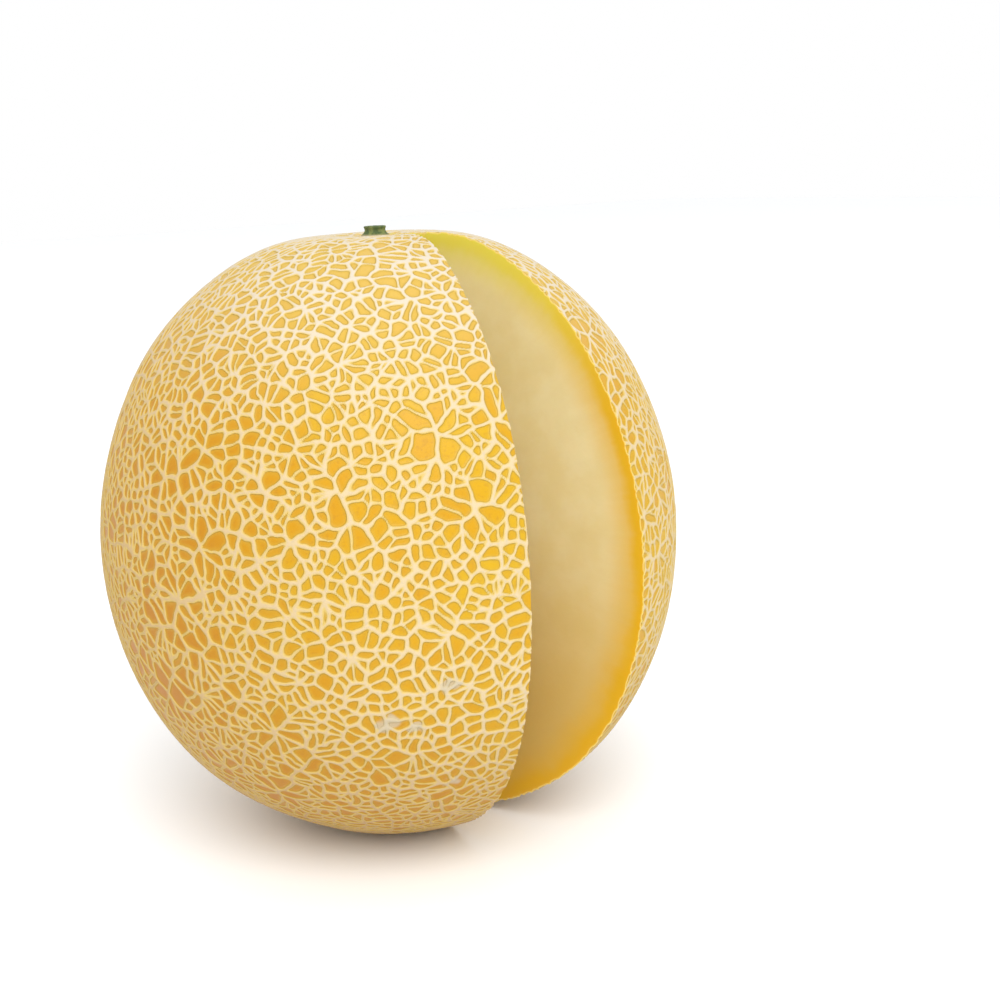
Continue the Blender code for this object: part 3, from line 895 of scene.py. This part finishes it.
stalk_points.append((stalk_middle.x, stalk_middle.y, stalk_low.z + STALK_END_LEVEL * stalk_height))
top_ring = (rings - 1) * STALK_SIDES
stalk_faces += [[top_ring + side, top_ring + (side + 1) % STALK_SIDES, len(stalk_points) - 1]
                for side in range(STALK_SIDES)]
STALK_GREEN = (0.055, 0.090, 0.022, 1)
STALK_OLIVE = (0.155, 0.185, 0.050, 1)
STALK_CORK = (0.42, 0.33, 0.17, 1)
stalk_finish = bpy.data.materials.new("green_stalk")
stalk_finish.use_nodes = True
tree = stalk_finish.node_tree
stalk_shader = tree.nodes["Principled BSDF"]
place = shade_node(tree, "ShaderNodeTexCoord").outputs["Object"]
olive_share = span(tree, grain(tree, 0.0018, 3.0, place), 0.4, 0.65)
stalk_color = blend_colors(tree, olive_share, STALK_GREEN, STALK_OLIVE)
level = shade_node(tree, "ShaderNodeSeparateXYZ", {0: place}).outputs[2]
corky_foot = span(tree, level, stalk_low.z + 0.0009, stalk_low.z + 0.0001)
stalk_color = blend_colors(tree, corky_foot, stalk_color, STALK_CORK)
tree.links.new(stalk_color, stalk_shader.inputs["Base Color"])
stalk_shader.inputs["Roughness"].default_value = 0.75
stalk_bump = shade_node(tree, "ShaderNodeBump", {"Strength": 0.5, "Distance": 0.0003,
                                                 "Height": grain(tree, 0.0007, 4.0, place)})
tree.links.new(stalk_bump.outputs[0], stalk_shader.inputs["Normal"])
stalk = smooth_piece("stalk", stalk_points, stalk_faces, stalk_finish)
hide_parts("stem_stub")

# ---------------------------------------------------------------------------
# Studio
# A pale floor in a white room, and one big soft light over the front left.
# ---------------------------------------------------------------------------
FLOOR_REACH = 4.0
FLOOR_WHITE = (0.965, 0.978, 0.99, 1)
floor_mesh = bpy.data.meshes.new("floor")
floor_mesh.from_pydata([(x * FLOOR_REACH, y * FLOOR_REACH, 0.0)
                        for x, y in ((-1, -1), (1, -1), (1, 1), (-1, 1))], [], [(0, 1, 2, 3)])
floor = bpy.data.objects.new("floor", floor_mesh)
bpy.context.scene.collection.objects.link(floor)
floor_finish = bpy.data.materials.new("pale_floor")
floor_finish.use_nodes = True
floor_shader = floor_finish.node_tree.nodes["Principled BSDF"]
floor_shader.inputs["Base Color"].default_value = FLOOR_WHITE
floor_shader.inputs["Roughness"].default_value = 0.6
floor_mesh.materials.append(floor_finish)

room = bpy.data.worlds.new("white_room")
bpy.context.scene.world = room
room.use_nodes = True
room_light = room.node_tree.nodes["Background"]
room_light.inputs["Color"].default_value = (1, 1, 1, 1)
room_light.inputs["Strength"].default_value = 1.0

LIGHT_PLACE = Vector((-0.86, -1.76, 1.95))
LIGHT_AIM = Vector((0.0, 0.0, EQUATOR))
light_data = bpy.data.lights.new("front_light", "AREA")
light_data.shape = "DISK"
light_data.size = 2.0
light_data.energy = 52.0
light = bpy.data.objects.new("front_light", light_data)
bpy.context.scene.collection.objects.link(light)
light.location = LIGHT_PLACE
light.rotation_euler = (LIGHT_AIM - LIGHT_PLACE).to_track_quat("-Z", "Y").to_euler()

# ---------------------------------------------------------------------------
# Camera
# Stands to the left of the wedge and a little above the fruit, which it sees
# left of the middle of its view.
# ---------------------------------------------------------------------------
CAMERA_AZIMUTH = math.radians(-33.7)
CAMERA_DISTANCE = 0.470
CAMERA_RISE = 0.112
CAMERA_YAW = math.radians(4.01)
CAMERA_PITCH = math.radians(12.32)
CAMERA_ROLL = math.radians(-2.31)
camera_data = bpy.data.cameras.new("camera")
camera = bpy.data.objects.new("camera", camera_data)
bpy.context.scene.collection.objects.link(camera)
camera.location = (CAMERA_DISTANCE * math.sin(CAMERA_AZIMUTH),
                   -CAMERA_DISTANCE * math.cos(CAMERA_AZIMUTH), EQUATOR + CAMERA_RISE)
heading = CAMERA_AZIMUTH - CAMERA_YAW
look = Vector((-math.sin(heading) * math.cos(CAMERA_PITCH), math.cos(heading) * math.cos(CAMERA_PITCH),
               -math.sin(CAMERA_PITCH)))
camera.rotation_euler = (look.to_track_quat("-Z", "Y").to_matrix()
                         @ Matrix.Rotation(CAMERA_ROLL, 3, "Z")).to_euler()
camera_data.sensor_width = 36
camera_data.lens = 57.5
camera_data.clip_start = 0.01
bpy.context.scene.camera = camera
bpy.context.scene.view_settings.view_transform = "Standard"
